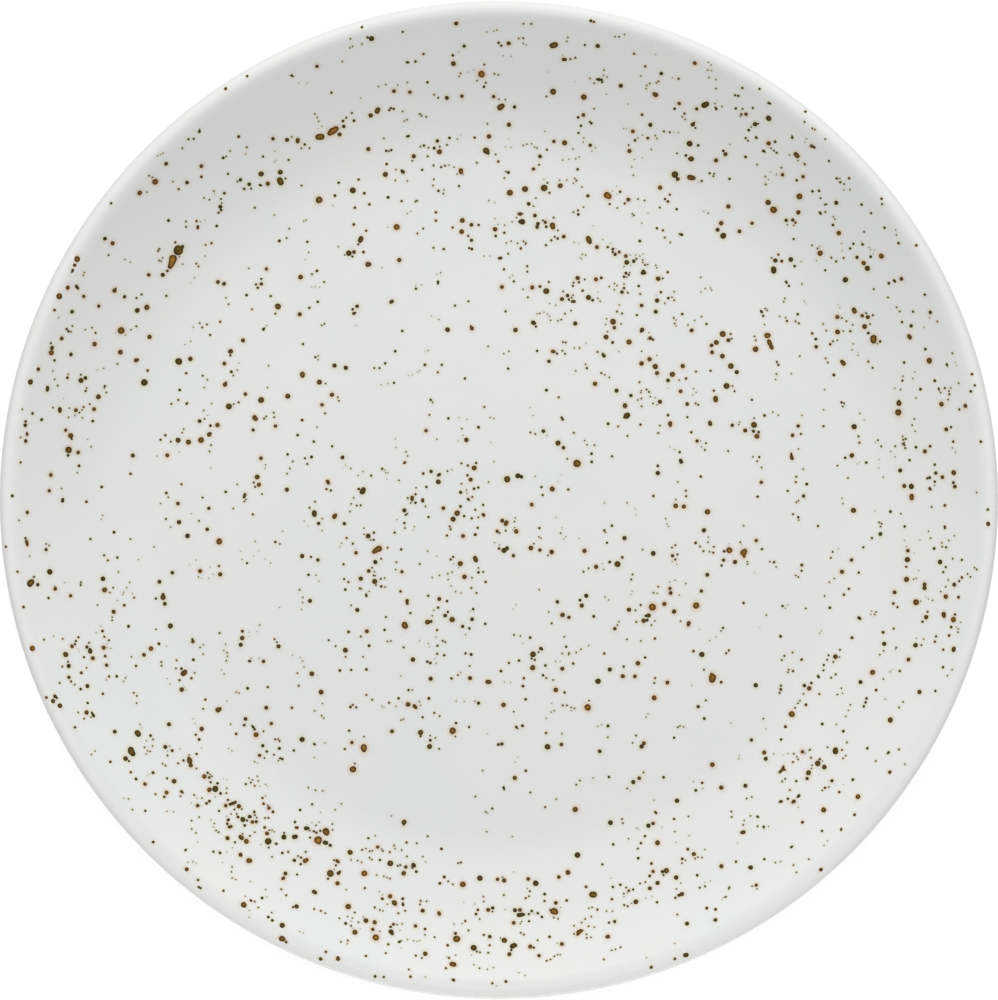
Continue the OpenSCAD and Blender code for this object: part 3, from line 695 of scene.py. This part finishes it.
        (60, 34, 21), (105, 9, 16), (190, 52, 14), (204, 57, 15), (275, 3, 15), (715, 0, 28),
        (646, 121, 40), (390, 340, 14), (78, 301, 14), (85, 337, 18), (119, 364, 22), (144, 388, 19),
        (314, 376, 16), (282, 452, 17), (288, 487, 18), (298, 487, 17), (350, 491, 26), (363, 492, 22),
        (400, 510, 15), (417, 518, 16), (441, 507, 15), (475, 510, 42), (482, 520, 34), (427, 566, 50),
        (436, 584, 18), (468, 580, 26), (478, 583, 26), (503, 598, 21), (27, 388, 17), (2, 418, 20),
        (15, 452, 23), (39, 450, 21), (92, 486, 18), (107, 523, 25), (114, 573, 42), (165, 588, 18),
        (214, 521, 14), (213, 546, 33), (276, 546, 28), (287, 543, 28), (203, 646, 17), (320, 675, 15),
        (278, 692, 22), (318, 716, 16), (345, 696, 28), (356, 689, 24), (546, 695, 21), (555, 703, 16),
        (628, 642, 33), (742, 553, 14), (801, 609, 21), (815, 690, 15), (982, 580, 14), (966, 452, 31),
        (965, 470, 12), (1201, 620, 18), (1519, 367, 14), (880, 711, 37), (977, 734, 22), (964, 773, 29),
        (1024, 720, 26), (1020, 738, 16), (1035, 728, 16), (1043, 763, 19), (717, 774, 37), (504, 774, 43),
        (555, 773, 24), (563, 764, 16), (549, 836, 27), (490, 806, 17), (2, 694, 26), (222, 775, 26),
        (211, 803, 22), (203, 809, 14), (401, 889, 26), (410, 894, 24), (720, 866, 14), (76, 928, 19),
        (6, 944, 18), (292, 981, 28), (270, 986, 14), (115, 1048, 19), (140, 1069, 20), (202, 1100, 34),
        (200, 1183, 36), (207, 1187, 30), (227, 1205, 16), (476, 1266, 15), (443, 1311, 22),
        (552, 1310, 26), (550, 1302, 18), (616, 982, 35), (600, 1088, 20), (658, 1143, 33), (727, 1070, 31),
        (782, 1081, 27), (770, 1125, 22), (789, 1176, 40), (827, 932, 16), (836, 935, 12), (879, 918, 27),
        (905, 958, 30), (912, 966, 24), (898, 952, 20), (958, 933, 19), (960, 971, 19), (957, 960, 12),
        (900, 1093, 20), (882, 1110, 18), (884, 1139, 31), (893, 1154, 20), (867, 1219, 14),
        (936, 1204, 18), (949, 1197, 18), (1038, 1104, 22), (1098, 1123, 18), (1083, 1008, 26),
        (1187, 1028, 24), (1184, 1018, 16), (1429, 1003, 17), (1418, 1029, 17), (1350, 1073, 14),
        (1191, 836, 19), (1218, 797, 20), (1335, 843, 36), (1442, 804, 35), (1553, 811, 22),
        (1494, 1003, 25), (1522, 991, 22), (1289, 1152, 22), (1296, 1185, 44), (1240, 1225, 17),
        (1403, 1241, 39), (1467, 1160, 14), (1504, 1171, 23), (1099, 1278, 29), (1248, 1304, 14),
        (1267, 1342, 32), (1279, 1346, 32), (1229, 1369, 14), (1278, 1443, 20), (1270, 1441, 14),
        (1520, 1463, 14), (1007, 1422, 16), (785, 1420, 18), (839, 1424, 14), (727, 1292, 15),
    ],
    (500, 750): [
        (27, 1194, 34), (78, 1231, 34), (90, 1225, 30), (103, 1227, 14), (71, 1255, 16), (59, 1281, 27),
        (190, 1233, 27), (212, 1240, 16), (245, 1290, 22), (388, 1217, 25), (311, 1172, 18), (37, 1452, 19),
        (93, 175, 27), (162, 130, 17), (22, 235, 18), (27, 247, 14), (625, 8, 24), (683, 169, 16),
        (472, 373, 33), (693, 456, 31), (486, 659, 36), (642, 717, 14), (710, 592, 16), (426, 768, 31),
        (369, 797, 23), (224, 836, 36), (177, 809, 24), (26, 818, 28), (280, 904, 19), (279, 947, 14),
        (418, 944, 17), (350, 959, 24), (338, 1011, 44), (348, 1017, 34), (314, 1003, 12), (540, 858, 18),
        (577, 907, 38), (590, 907, 38), (611, 1001, 14), (702, 936, 15), (708, 859, 15), (755, 845, 17),
        (807, 883, 17), (835, 875, 14), (852, 952, 31), (950, 712, 18), (867, 679, 18), (960, 762, 21),
        (939, 790, 19), (988, 834, 27), (940, 868, 25), (1019, 763, 22), (1043, 757, 34), (1026, 784, 14),
        (1105, 800, 29), (1141, 904, 28), (1122, 911, 22), (1100, 927, 15), (1143, 683, 18),
        (1178, 622, 18), (1216, 653, 26), (1237, 786, 17), (988, 582, 31), (909, 540, 15), (884, 584, 15),
        (931, 475, 28), (960, 461, 23), (973, 389, 14), (982, 397, 14), (1092, 433, 15), (1110, 318, 29),
        (1228, 253, 19), (1268, 206, 16), (1332, 92, 29), (1388, 236, 27), (1539, 224, 26), (1528, 515, 25),
        (1516, 519, 20), (1480, 701, 15), (1389, 729, 27), (1565, 737, 20), (1297, 992, 20),
        (1352, 1000, 20), (1351, 1066, 25), (1173, 1089, 27), (985, 955, 15), (1169, 1286, 29),
        (1160, 1287, 24), (1097, 1310, 16), (949, 1363, 20), (677, 1171, 27), (668, 1172, 16),
        (719, 1076, 21), (684, 1083, 15), (494, 1143, 30), (505, 1135, 24), (517, 1131, 12),
        (486, 1158, 18), (86, 1084, 24), (182, 1074, 14), (94, 1005, 27), (125, 1004, 25), (119, 1036, 29),
        (133, 1033, 26), (149, 1031, 20), (199, 1010, 17), (181, 1029, 14), (236, 1022, 14),
        (241, 1028, 10), (263, 1047, 17), (873, 177, 23), (836, 201, 27), (1026, 171, 17),
    ],
    (750, 750): [
        (536, 10, 36), (89, 16, 26), (99, 55, 26), (329, 11, 22), (209, 103, 15), (207, 118, 22),
        (197, 129, 20), (186, 138, 22), (220, 124, 14), (425, 84, 36), (437, 58, 16), (466, 107, 30),
        (367, 143, 32), (358, 179, 21), (290, 195, 15), (238, 306, 16), (198, 322, 18), (188, 325, 17),
        (307, 286, 20), (298, 297, 20), (276, 322, 24), (268, 328, 17), (471, 237, 16), (514, 193, 21),
        (560, 264, 16), (645, 186, 19), (871, 14, 16), (864, 21, 14), (877, 139, 23), (677, 293, 31),
        (656, 406, 19), (462, 376, 33), (46, 417, 14), (54, 423, 12), (86, 482, 17), (329, 453, 20),
        (452, 508, 15), (572, 495, 14), (572, 502, 13), (257, 611, 14), (265, 605, 13), (90, 685, 15),
        (5, 737, 29), (445, 750, 23), (39, 848, 21),
    ],
}

# Shares are of the spots' radii where nothing else is said, and lengths in millimetres
spotShape = {
    "joinShare": 0.88,            # spots nearer than this share of their radii grow together,
    "fuseShare": 0.75,            # and nearer than this one they are the ends of one longer spot
    "blend": 0.16,                # width of the fillet where they do
    "uneven": 0.035,              # by which an outline wanders from round,
    "swing": (0.4, 1.0),          # times a share drawn for each spot from this range,
    "ripple": 0.7,                # with three waves round it, this share as strong as the two
    "softEdge": 0.025,            # taken off the radius of a large spot, whose soft edge looks wider
    "softOver": (0.33, 0.45),     # radii over which that comes
    "rimRise": 0.014,             # of a spot's outline above the glaze around it,
    "haloFall": 0.0045,           # less for each millimetre outside that outline,
    "crown": 0.012,               # and more in the middle of a spot,
    "crownWidth": 0.45,           # reached this far inside
    "root": 0.035,                # depth of a spot's underside in the glaze
    "middleShare": 0.4,           # how deep a group's middle has to lie to be a lens's middle
    "coverSlack": 0.02,           # by which a lobe's middle may lie outside the lens that covers it
    "traceSteps": 40,             # to find an outline from within, and it is found
    "traceEnd": 0.003,            # when this near
    "sharpAngle": 70.0,           # degrees from which an edge is shaded sharp
}
# pieces by the radius of their spots, the largest first. The halo is the width of the stain
# round a spot, the rings are shares of the way out to its outline, and amber is the range
# that its tone is drawn from, with olive at 0 and amber at 1.
spotPieces = {
    "ironSpots": {
        "least": 0.85, "segments": 24, "halo": 1.4,
        "rings": (1.0, 0.88, 0.7, 0.4), "amber": (0.05, 1.0),
    },
    "ironFlecks": {
        "least": 0.44, "segments": 14, "halo": 1.15,
        "rings": (1.0, 0.72, 0.36), "amber": (0.0, 0.8),
    },
    "ironDust": {
        "least": 0.0, "segments": 8, "halo": 0.7,
        "rings": (1.0, 0.5), "amber": (0.0, 0.6),
    },
}
# specks too small to read one by one, and those of the back, are strewn by chance
strewing = {
    "seed": 5,
    "loose": {
        "places": 420, "trail": (1, 1), "widths": (0.34, 0.56), "depths": (0.85, 1.0), "scatter": 150.0,
    },
    "gathered": {
        "places": 640, "trail": (1, 2), "widths": (0.38, 0.62), "depths": (0.9, 1.0), "scatter": 4.5,
    },
    "trails": {
        "places": 50, "trail": (3, 5), "widths": (0.34, 0.56), "depths": (0.8, 1.0), "scatter": 7.0,
    },
    "faint": {
        "places": 420, "trail": (1, 2), "widths": (0.26, 0.42), "depths": (0.4, 0.9), "scatter": 12.0,
    },
    "clearance": 0.1,             # kept between strewn specks and the listed spots
    "trailStep": (0.7, 2.4),
    "trailBend": 0.25,            # radians that a trail turns at each step, at most,
    "trailWander": 0.6,           # and those that it strays by chance
    "trailTaper": (0.82, 1.08),   # radius of each speck of a trail, as a share of the last one's
    "faceShare": 0.975,           # of the outline's radius that strewn specks keep within
    "backPlaces": 1700,
    "backStart": 0.75,            # share of the lip's edge that the back's specks start from
    "backMargin": 1.0,            # kept from the foot's fillet
    "recessPlaces": 800,
    "recessMargin": 6.0,          # kept from the standing face, inside the foot ring
    "readShare": 0.5,             # of the back's specks that take the width of a listed spot
}
# the section is searched row by row for what the camera sees of it
faceSearch = {
    "rows": 3000,
    "outlineRows": 60,
    "edgeShare": 0.5,             # of the lip's edge, past which nothing is seen from above
}


def seenFrom(point):
    # how far from the middle of the picture a point of the section lies, unscaled
    return point.x / (cameraSetting["height"] / mm - point.y)


lipEdge = glazeSection[edgeStretch]
outlineShares = [n / faceSearch["outlineRows"] for n in range(faceSearch["outlineRows"] + 1)]
outlineSeen = max(seenFrom(pointAlong(lipEdge, share)[0]) for share in outlineShares)
faceEnd = stretchEnds[topStretch] + lipEdge["length"] * faceSearch["edgeShare"]
faceRows = [faceEnd * n / faceSearch["rows"] for n in range(faceSearch["rows"] + 1)]
faceSeen = [seenFrom(sectionAt(along)[0]) / outlineSeen for along in faceRows]


def alongSeenAt(share):
    # distance along the section of what is seen at this share of the outline's radius
    n = min(max(bisect.bisect(faceSeen, share), 1), len(faceSeen) - 1)
    step = (share - faceSeen[n - 1]) / max(faceSeen[n] - faceSeen[n - 1], tiny)
    return faceRows[n - 1] + (faceRows[n] - faceRows[n - 1]) * min(step, 1.0)


def recessPoint(along, turn, lift=0.0):
    # a point of the glazed ceiling inside the foot ring, seen from below
    height = plateShape["recessHeight"] - plateShape["glazeThickness"] - lift
    return Vector((along * math.cos(turn), -along * math.sin(turn), height))


def readSpots():
    # spots of the face as right and up of the middle, and radius, all in millimetres
    scale = plateShape["width"] / 2 / spotView["radius"]
    middleX, middleY = spotView["middle"]
    grown = spotView["enlargement"]
    least, most = spotShape["softOver"]
    places = []
    for (left, top), spots in spotSheets.items():
        for x, y, width in spots:
            radius = width / grown * scale / 2
            radius -= spotShape["softEdge"] * max(0.0, min(1.0, (radius - least) / (most - least)))
            right, up = left + x / grown - middleX, middleY - top - y / grown
            places.append((right * scale, up * scale, radius))
    return places


spotLayers = ("inset", "tone", "depth", "halo")
spotCell = 4.0                    # width of the squares that neighbours are looked up in


def cellOf(x, y):
    return int(x // spotCell), int(y // spotCell)


def cellsAround(x, y):
    column, row = cellOf(x, y)
    return [(column + i, row + j) for i in (-1, 0, 1) for j in (-1, 0, 1)]


def joinSpots(spots):
    # sort the spots into groups that touch
    cells = {}
    groupOf = list(range(len(spots)))

    def leader(n):
        while groupOf[n] != n:
            n = groupOf[n]
        return n

    for n, (x, y, radius) in enumerate(spots):
        for near in cellsAround(x, y):
            for m in cells.get(near, ()):
                a, b, other = spots[m]
                if math.hypot(x - a, y - b) < (radius + other) * spotShape["joinShare"]:
                    groupOf[leader(m)] = leader(n)
        cells.setdefault(cellOf(x, y), []).append(n)
    groups = {}
    for n in range(len(spots)):
        groups.setdefault(leader(n), []).append(spots[n])
    return list(groups.values()), cells


def limbsOf(lobes):
    # a group of lobes as limbs, each from one lobe to another or a lobe by itself
    limbs = []
    for n, first in enumerate(lobes):
        for other in lobes[:n]:
            apart = math.hypot(first[0] - other[0], first[1] - other[1])
            if apart < spotShape["fuseShare"] * (first[2] + other[2]):
                limbs.append((first, other))
    fused = {lobe for limb in limbs for lobe in limb}
    return limbs + [(lobe, lobe) for lobe in lobes if lobe not in fused]


def insideBy(limbs, u, v):
    # how far inside the outline of joined limbs a point lies, or outside it where negative
    blend = spotShape["blend"]
    inside = -math.inf
    for (a, b, radius), (c, d, endRadius) in limbs:
        run, rise = c - a, d - b
        share = ((u - a) * run + (v - b) * rise) / max(run * run + rise * rise, tiny)
        share = max(0.0, min(1.0, share))
        reach = math.hypot(u - a - run * share, v - b - rise * share)
        depth = radius + (endRadius - radius) * share - reach
        near = max(0.0, 1 - abs(depth - inside) / blend)
        inside = max(depth, inside) + near * near * blend / 4
    return inside


def reachOf(limbs, u, v, angle):
    # distance to the outline in one direction
    reach = 0.0
    for _ in range(spotShape["traceSteps"]):
        inside = insideBy(limbs, u + reach * math.cos(angle), v + reach * math.sin(angle))
        if inside < spotShape["traceEnd"]:
            break
        reach += inside
    return reach


def liftOf(inside):
    # height of a spot above the glaze; where two lap, the one that reaches deeper is on top
    shape = spotShape
    if inside < 0:
        return shape["rimRise"] + shape["haloFall"] * inside
    return shape["rimRise"] + shape["crown"] * min(1.0, inside / shape["crownWidth"])


def middlesOf(lobes, limbs):
    # middles of the lenses that together cover a group: its own middle if that lies well
    # inside it, and then each lobe that the lenses before have left out
    uncovered = sorted(lobes, key=lambda lobe: -lobe[2])
    while uncovered:
        u, v, width = uncovered[0]
        if len(uncovered) == len(lobes) > 1:
            weight = sum(r * r for _, _, r in lobes)
            middle = [sum(lobe[k] * lobe[2] ** 2 for lobe in lobes) / weight for k in (0, 1)]
            if insideBy(limbs, *middle) > spotShape["middleShare"] * width:
                u, v = middle
        left = []
        for a, b, radius in uncovered:
            reach = reachOf(limbs, u, v, math.atan2(b - v, a - u))
            if math.hypot(a - u, b - v) > reach + spotShape["coverSlack"]:
                left.append((a, b, radius))
        uncovered = left
        yield u, v


def addPoint(sheet, spot, u, v, inside, lift, halo=1.0):
    # a point of a spot, u outwards along the section and v round the axis from the spot's place
    away, along, turn = spot["away"], spot["along"], spot["turn"]
    if spot["surface"] is recessPoint or along < stretchEnds[topStretch]:
        reach = math.hypot(away + u, v)
        point = spot["surface"](along + reach - away, turn + math.atan2(v, away + u), lift)
    else:
        point = spot["surface"](along + u, turn + v / away, lift)
    sheet["points"].append(point)
    values = {"inset": inside, "tone": spot["tone"], "depth": spot["depth"], "halo": halo * spot["depth"]}
    for key in spotLayers:
        sheet[key].append(values[key])


def addLens(sheet, piece, spot, middle):
    # a shallow closed lens from its middle out to the outline, and to the end of the halo round it
    limbs, count = spot["limbs"], piece["segments"]
    u0, v0 = middle
    angles = [2 * math.pi * n / count for n in range(count)]
    reaches = []
    for angle in angles:
        stray = (math.cos(2 * angle + spot["phase"])
                 + spotShape["ripple"] * math.cos(3 * angle - 2 * spot["phase"]))
        reaches.append(reachOf(limbs, u0, v0, angle) * (1 + spotShape["uneven"] * spot["swing"] * stray))

    first = len(sheet["points"])
    rings = (None,) + piece["rings"]        # None stands for the end of the halo
    for ring in rings:
        for angle, reach in zip(angles, reaches):
            away = reach + piece["halo"] if ring is None else reach * ring
            u, v = u0 + away * math.cos(angle), v0 + away * math.sin(angle)
            inside = reach - away if ring in (None, 1.0) else insideBy(limbs, u, v)
            addPoint(sheet, spot, u, v, inside, liftOf(inside), 0.0 if ring is None else 1.0)
    inside = insideBy(limbs, u0, v0)
    addPoint(sheet, spot, u0, v0, inside, liftOf(inside))
    addPoint(sheet, spot, u0, v0, 0.0, -spotShape["root"])

    top, bottom = first + len(rings) * count, first + len(rings) * count + 1
    for n in range(count):
        m = (n + 1) % count
        for ring in range(len(rings) - 1):
            low, high = first + ring * count, first + (ring + 1) * count
            sheet["faces"].append((low + n, low + m, high + m, high + n))
        last = first + (len(rings) - 1) * count
        sheet["faces"].append((last + n, last + m, top))
        sheet["faces"].append((first + m, first + n, bottom))


def addSpot(spotMeshes, surface, away, along, turn, lobes, draw, depth=1.0):
    # a spot at a place this far away from the axis and along the section, with its lobes
    # about that place
    largest = max(lobe[2] for lobe in lobes)
    name = next(n for n, piece in spotPieces.items() if largest >= piece["least"])
    piece = spotPieces[name]
    spot = {
        "surface": surface, "away": away, "along": along, "turn": turn, "depth": depth,
        "limbs": limbsOf(lobes),
        "tone": draw.uniform(*piece["amber"]),
        "phase": draw.uniform(0, 2 * math.pi),
        "swing": draw.uniform(*spotShape["swing"]),
    }
    for middle in middlesOf(lobes, spot["limbs"]):
        addLens(spotMeshes[name], piece, spot, middle)


def addGroup(spotMeshes, group, draw, depth=1.0):
    # spots of the face, from their places in the photograph
    placed = []
    for x, y, radius in group:
        along = alongSeenAt(math.hypot(x, y) / (plateShape["width"] / 2))
        placed.append((along, math.atan2(y, x), radius))
    along, turn, _ = max(placed, key=lambda spot: spot[2])
    away = sectionAt(along)[0].x
    lobes = [
        ((away + a - along) * math.cos(t - turn) - away, (away + a - along) * math.sin(t - turn), r)
        for a, t, r in placed
    ]
    addSpot(spotMeshes, glazePoint, away, along, turn, lobes, draw, depth)


def strewOver(draw, kind, spots):
    # specks that lie near spots already there, one by one or in a trail round the plate
    for _ in range(kind["places"]):
        x, y, _ = draw.choice(spots)
        x, y = x + draw.gauss(0, kind["scatter"]), y + draw.gauss(0, kind["scatter"])
        way = math.atan2(x, -y) + draw.gauss(0, strewing["trailWander"])
        bend = draw.uniform(-strewing["trailBend"], strewing["trailBend"])
        radius = draw.uniform(*kind["widths"]) / 2
        for _ in range(draw.randint(*kind["trail"])):
            yield x, y, radius, draw.uniform(*kind["depths"])
            step = draw.uniform(*strewing["trailStep"])
            x, y = x + step * math.cos(way), y + step * math.sin(way)
            way += bend + draw.gauss(0, strewing["trailWander"])
            radius *= draw.uniform(*strewing["trailTaper"])


def strewFace(spotMeshes, draw, spots, cells, limit):
    # most specks lie near the listed spots, and all lie clear of them
    for kind in ("loose", "gathered", "trails", "faint"):
        for x, y, radius, depth in strewOver(draw, strewing[kind], spots):
            near = [spots[m] for cell in cellsAround(x, y) for m in cells.get(cell, ())]
            apart = radius + strewing["clearance"]
            if math.hypot(x, y) < limit and all(math.hypot(x - a, y - b) > r + apart for a, b, r in near):
                addGroup(spotMeshes, [(x, y, radius)], draw, depth)


def strewnRadius(draw, readRadii):
    # a radius drawn as often as it stands among the listed spots, or that of one of the smaller specks
    if draw.random() < strewing["readShare"]:
        return draw.choice(readRadii)
    return draw.uniform(*strewing["gathered"]["widths"]) / 2


def strewBack(spotMeshes, draw, readRadii, limit):
    # from under the edge of the lip to the foot, thinned so that they are spread evenly
    start = stretchEnds[topStretch] + lipEdge["length"] * strewing["backStart"]
    end = stretchEnds[flatStretch] - strewing["backMargin"]
    for _ in range(strewing["backPlaces"]):
        along, turn = draw.uniform(start, end), draw.uniform(0, 2 * math.pi)
        radius, away = strewnRadius(draw, readRadii), sectionAt(along)[0].x
        if draw.random() < away / limit:
            addSpot(spotMeshes, glazePoint, away, along, turn, [(0, 0, radius)], draw)


def strewRecess(spotMeshes, draw, readRadii):
    # inside the foot ring, where the square root spreads them evenly
    end = (plateShape["footWidth"] - plateShape["footFaceWidth"]) / 2 - strewing["recessMargin"]
    for _ in range(strewing["recessPlaces"]):
        along, turn = end * math.sqrt(draw.random()), draw.uniform(0, 2 * math.pi)
        radius = strewnRadius(draw, readRadii)
        addSpot(spotMeshes, recessPoint, along, along, turn, [(0, 0, radius)], draw)


def makeSpotPiece(name, sheet, material):
    piece = addMesh(name, sheet["points"], sheet["faces"], material)
    piece.data.set_sharp_from_angle(angle=math.radians(spotShape["sharpAngle"]))
    for key in spotLayers:
        layer = piece.data.attributes.new(key, "FLOAT", "POINT")
        layer.data.foreach_set("value", sheet[key])
    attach(piece, "root")
    print(name, "made:", len(sheet["faces"]), "faces")


def makeSpots(material):
    draw = random.Random(strewing["seed"])
    spotMeshes = {name: {key: [] for key in ("points", "faces") + spotLayers} for name in spotPieces}
    spots = readSpots()
    groups, cells = joinSpots(spots)
    for group in groups:
        addGroup(spotMeshes, group, draw)
    limit = plateShape["width"] / 2 * strewing["faceShare"]
    strewFace(spotMeshes, draw, spots, cells, limit)
    readRadii = [radius for _, _, radius in spots]
    strewBack(spotMeshes, draw, readRadii, limit)
    strewRecess(spotMeshes, draw, readRadii)
    for name, sheet in spotMeshes.items():
        makeSpotPiece(name, sheet, material)


# Olive and amber are the ends of the range of tones. A rim, core and middle come in over
# distances inside a spot's outline, in millimetres, and scales are per metre.
spotFinish = {
    "oliveRim": (0.033, 0.034, 0.009, 1),
    "amberRim": (0.084, 0.040, 0.006, 1),
    "oliveCore": (0.074, 0.048, 0.008, 1),
    "amberCore": (0.250, 0.108, 0.018, 1),
    "oliveMiddle": (0.092, 0.056, 0.009, 1),
    "amberMiddle": (0.460, 0.215, 0.034, 1),
    "oliveHalo": (0.690, 0.690, 0.540, 1),
    "amberHalo": (0.720, 0.560, 0.430, 1),
    "rimOver": (-0.11, -0.01),
    "coreOver": (0.12, 0.5),
    "middleOver": (0.42, 0.95),
    "turn": {"scale": 800.0, "detail": 1.0, "by": 0.25},      # patches turned to olive or amber
    "cloud": {"scale": 1500.0, "detail": 3.0, "by": 0.12},    # wander of the core and the middle
    "wanderOver": (0.3, 0.7),     # range of both noises that counts
    "gloss": (0.5, 0.05),         # specular level beside a spot and in it
}


def attributeNode(nodes, name):
    node = nodes.new("ShaderNodeAttribute")
    node.attribute_name = name
    return node.outputs["Fac"]


def makeSpotMaterial():
    finish = spotFinish
    material, nodes, links, shader = newMaterial("ironInGlaze")
    coords = nodes.new("ShaderNodeTexCoord").outputs["Object"]
    inset, tone, depth, halo = (attributeNode(nodes, key) for key in spotLayers)

    def wandered(value, kind):
        patches = noiseNode(nodes, links, coords, kind["scale"], kind["detail"])
        by = rangeNode(nodes, links, patches, finish["wanderOver"], (-kind["by"], kind["by"]))
        return mathNode(nodes, links, "ADD", value, by)

    tone = wandered(tone, finish["turn"])

    def toned(part):
        return mixNode(nodes, links, tone, finish["olive" + part], finish["amber" + part])

    stain = rangeNode(nodes, links, halo, whole, smooth=True)
    ground = mixNode(nodes, links, stain, glazeColourAndPaintedLight(nodes, links, coords), toned("Halo"))

    ragged = wandered(inset, finish["cloud"])
    iron = toned("Rim")
    for part, over in (("Core", finish["coreOver"]), ("Middle", finish["middleOver"])):
        share = rangeNode(nodes, links, ragged, over, smooth=True)
        iron = mixNode(nodes, links, share, iron, toned(part))

    edge = rangeNode(nodes, links, inset, finish["rimOver"], smooth=True)
    coverage = mathNode(nodes, links, "MULTIPLY", edge, depth)
    links.new(mixNode(nodes, links, coverage, ground, iron), shader.inputs["Base Color"])
    gloss = rangeNode(nodes, links, coverage, whole, finish["gloss"])
    links.new(gloss, shader.inputs["Specular IOR Level"])
    shader.inputs["Roughness"].default_value = sum(glazeFinishAndPaintedLight["roughness"]) / 2
    addPeel(nodes, links, coords, shader)
    return material


makeSpots(makeSpotMaterial())


# Stage and lamps
stageSetting = {
    "floorWidth": 6.0,
    "floorColour": (0.86, 0.86, 0.86, 1),
    "floorRoughness": 0.9,
    "seenWhite": 1.5,             # what the camera sees laid over the floor, so that it is white
    "seenShare": 0.45,            # and still shows the shadow
    "roomLight": 0.695,
}


def seenDirectly(nodes, links):
    # 1 where the camera sees a thing by itself, in a mirror or through glass, and else 0
    ray = nodes.new("ShaderNodeLightPath")
    seen = mathNode(nodes, links, "MAXIMUM", ray.outputs["Is Camera Ray"], ray.outputs["Is Glossy Ray"])
    return mathNode(nodes, links, "MAXIMUM", seen, ray.outputs["Is Transmission Ray"])


def makeFloor():
    material, nodes, links, shader = newMaterial("floorPaper")
    shader.inputs["Base Color"].default_value = stageSetting["floorColour"]
    shader.inputs["Roughness"].default_value = stageSetting["floorRoughness"]
    shader.inputs["Specular IOR Level"].default_value = 0.0
    glow = nodes.new("ShaderNodeEmission")
    glow.inputs["Strength"].default_value = stageSetting["seenWhite"]
    share = mathNode(nodes, links, "MULTIPLY", seenDirectly(nodes, links), stageSetting["seenShare"])
    mix = nodes.new("ShaderNodeMixShader")
    links.new(share, mix.inputs[0])
    links.new(shader.outputs[0], mix.inputs[1])
    links.new(glow.outputs[0], mix.inputs[2])
    output = next(n for n in nodes if n.type == "OUTPUT_MATERIAL")
    links.new(mix.outputs[0], output.inputs["Surface"])
    half = stageSetting["floorWidth"] / 2 / mm
    corners = [Vector((x * half, y * half, 0)) for x, y in ((-1, -1), (1, -1), (1, 1), (-1, 1))]
    floor = addMesh("floor", corners, [(0, 1, 2, 3)], material)


def makeWorld():
    world = bpy.data.worlds.new("studio")
    scene.world = world
    world.use_nodes = True
    nodes, links = world.node_tree.nodes, world.node_tree.links
    ground = next(n for n in nodes if n.type == "BACKGROUND")
    ground.inputs["Color"].default_value = (1, 1, 1, 1)
    light = rangeNode(nodes, links, seenDirectly(nodes, links), whole, (stageSetting["roomLight"], 1.0))
    links.new(light, ground.inputs["Strength"])


# Bearing is counted from +X towards +Y and height from level, both in degrees. Sizes and
# distances are in metres, and mirrored says whether the glaze shows the lamp itself.
lamps = {
    "lowPanel": {
        "bearing": 90.0, "height": 18.0, "distance": 1.6, "size": (1.6, 0.5),
        "power": 14.9, "mirrored": False,
    },
    "overheadPanel": {
        "bearing": 90.0, "height": 85.0, "distance": 1.6, "size": (0.9, 0.6),
        "power": 1.9, "mirrored": True,
    },
    "frontStrip": {
        "bearing": 270.0, "height": 0.4, "distance": 1.6, "size": (1.6, 0.015),
        "power": 11.0, "mirrored": True,
    },
}


def makeLamp(name, setting):
    data = bpy.data.lights.new(name, "AREA")
    data.shape = "RECTANGLE"
    data.size, data.size_y = setting["size"]
    data.energy = setting["power"]
    lamp = bpy.data.objects.new(name, data)
    scene.collection.objects.link(lamp)
    bearing, height = math.radians(setting["bearing"]), math.radians(setting["height"])
    level = math.cos(height)
    way = Vector((math.cos(bearing) * level, math.sin(bearing) * level, math.sin(height)))
    lamp.location = way * setting["distance"]
    lamp.rotation_euler = way.to_track_quat("Z", "Y").to_euler()
    lamp.visible_camera = False
    lamp.visible_glossy = setting["mirrored"]


def makeCamera():
    data = bpy.data.cameras.new("overhead")
    data.sensor_width = cameraSetting["sensor"]
    camera = bpy.data.objects.new("overhead", data)
    scene.collection.objects.link(camera)
    data.lens = cameraSetting["sensor"] * cameraSetting["plateShare"] / outlineSeen
    data.shift_x, data.shift_y = cameraSetting["shift"]
    camera.location = (0, 0, cameraSetting["height"])
    scene.camera = camera


makeFloor()
makeWorld()
for name, setting in lamps.items():
    makeLamp(name, setting)
makeCamera()
scene.view_settings.view_transform = "Standard"
print("stage set")
